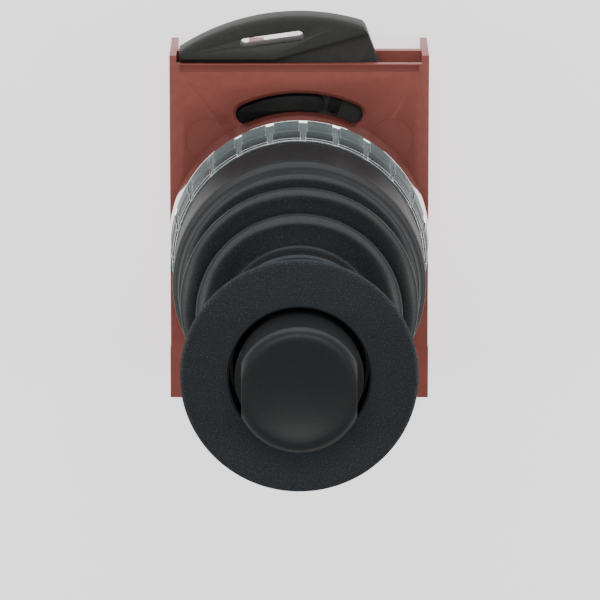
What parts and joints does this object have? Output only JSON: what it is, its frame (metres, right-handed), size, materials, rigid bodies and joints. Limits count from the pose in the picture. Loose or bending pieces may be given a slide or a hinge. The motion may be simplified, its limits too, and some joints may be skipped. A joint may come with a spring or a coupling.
{
  "type": "industrial joystick",
  "caption": "Panel joystick operator: booted cardan lever with push-button grip, notched chrome bezel and a clip-on holder with a swinging locking lever.",
  "frame": {"origin": "on the lever axis in the panel's front face, where the gasket seats", "axes": "+Z along the lever, out of the panel; +Y towards the holder's locking lever; +X to the right seen from the front"},
  "size_m": [0.0302, 0.0451, 0.0904],
  "materials": {
    "holder_plastic": "satin",
    "black_plastic": "satin",
    "boot_rubber": "satin",
    "gasket_rubber": "matte",
    "chrome": "polished",
    "zinc_steel": "satin",
    "spring_steel": "satin",
    "gimbal_brass": "satin",
    "grip_plastic": "matte",
    "button_plastic": "satin",
    "plunger_plastic": "satin"
  },
  "bodies": {
    "housing": {"mounting_flange": "holder_plastic", "operator_body": "black_plastic", "panel_gasket": "gasket_rubber", "bezel_ring": "chrome", "collar_ring": "chrome", "boot": "boot_rubber", "gate_plate": "zinc_steel", "trunnion_pins": "zinc_steel", "spring_seat": "zinc_steel", "return_spring": "spring_steel", "plunger_guide": "black_plastic", "guide_ring": "spring_steel", "spring_north": "spring_steel", "spring_south": "spring_steel", "spring_east": "spring_steel", "spring_west": "spring_steel", "spring_centre": "spring_steel"},
    "locking_arm": {"locking_lever": "black_plastic"},
    "cardan_ring": {"gimbal_ring": "gimbal_brass", "hub_pins": "zinc_steel"},
    "lever": {"lever_hub": "zinc_steel", "rocker_plate": "zinc_steel", "lever_tube": "zinc_steel", "spring_retainer": "zinc_steel", "retainer_clip": "spring_steel", "boot_clip": "spring_steel", "grip": "grip_plastic", "button_stop_ring": "spring_steel", "button_spring": "spring_steel"},
    "push_button": {"button": "button_plastic", "push_rod": "zinc_steel"},
    "north": {"plunger_north": "plunger_plastic"},
    "south": {"plunger_south": "plunger_plastic"},
    "east": {"plunger_east": "plunger_plastic"},
    "west": {"plunger_west": "plunger_plastic"},
    "centre": {"plunger_centre": "plunger_plastic"}
  },
  "joints": [
    {"name": "lock_swing", "type": "hinge", "parent": "housing", "child": "locking_arm", "pos_m": [0, 0, -0.007], "axis": [0, 0, 1], "range_deg": [-14, 0]},
    {"name": "tilt_north_south", "type": "hinge", "parent": "housing", "child": "cardan_ring", "pos_m": [0, 0, 0.008], "axis": [1, 0, 0], "range_deg": [-10, 10], "stiffness_Nm_per_rad": 1.2, "deforming": ["boot", "return_spring"]},
    {"name": "tilt_east_west", "type": "hinge", "parent": "cardan_ring", "child": "lever", "pos_m": [0, 0, 0.008], "axis": [0, 1, 0], "range_deg": [-10, 10], "stiffness_Nm_per_rad": 1.2},
    {"name": "button_press", "type": "slide", "parent": "lever", "child": "push_button", "axis": [0, 0, -1], "range_m": [0, 0.003], "stiffness_N_per_m": 700, "deforming": ["button_spring"]},
    {"name": "north_plunger_slide", "type": "slide", "parent": "housing", "child": "north", "axis": [0, 0, 1], "range_m": [-0.0012, 0.0012], "deforming": ["spring_north"]},
    {"name": "south_plunger_slide", "type": "slide", "parent": "housing", "child": "south", "axis": [0, 0, 1], "range_m": [-0.0012, 0.0012], "deforming": ["spring_south"]},
    {"name": "east_plunger_slide", "type": "slide", "parent": "housing", "child": "east", "axis": [0, 0, 1], "range_m": [-0.0012, 0.0012], "deforming": ["spring_east"]},
    {"name": "west_plunger_slide", "type": "slide", "parent": "housing", "child": "west", "axis": [0, 0, 1], "range_m": [-0.0012, 0.0012], "deforming": ["spring_west"]},
    {"name": "centre_plunger_slide", "type": "slide", "parent": "housing", "child": "centre", "axis": [0, 0, -1], "range_m": [0, 0.003], "deforming": ["spring_centre"]}
  ],
  "couplings": [
    {"joint": "north_plunger_slide", "follows": "tilt_north_south", "m_per_rad": 0.0064},
    {"joint": "south_plunger_slide", "follows": "tilt_north_south", "m_per_rad": -0.0064},
    {"joint": "east_plunger_slide", "follows": "tilt_east_west", "m_per_rad": -0.0064},
    {"joint": "west_plunger_slide", "follows": "tilt_east_west", "m_per_rad": 0.0064},
    {"joint": "centre_plunger_slide", "follows": "button_press", "ratio": 1}
  ]
}
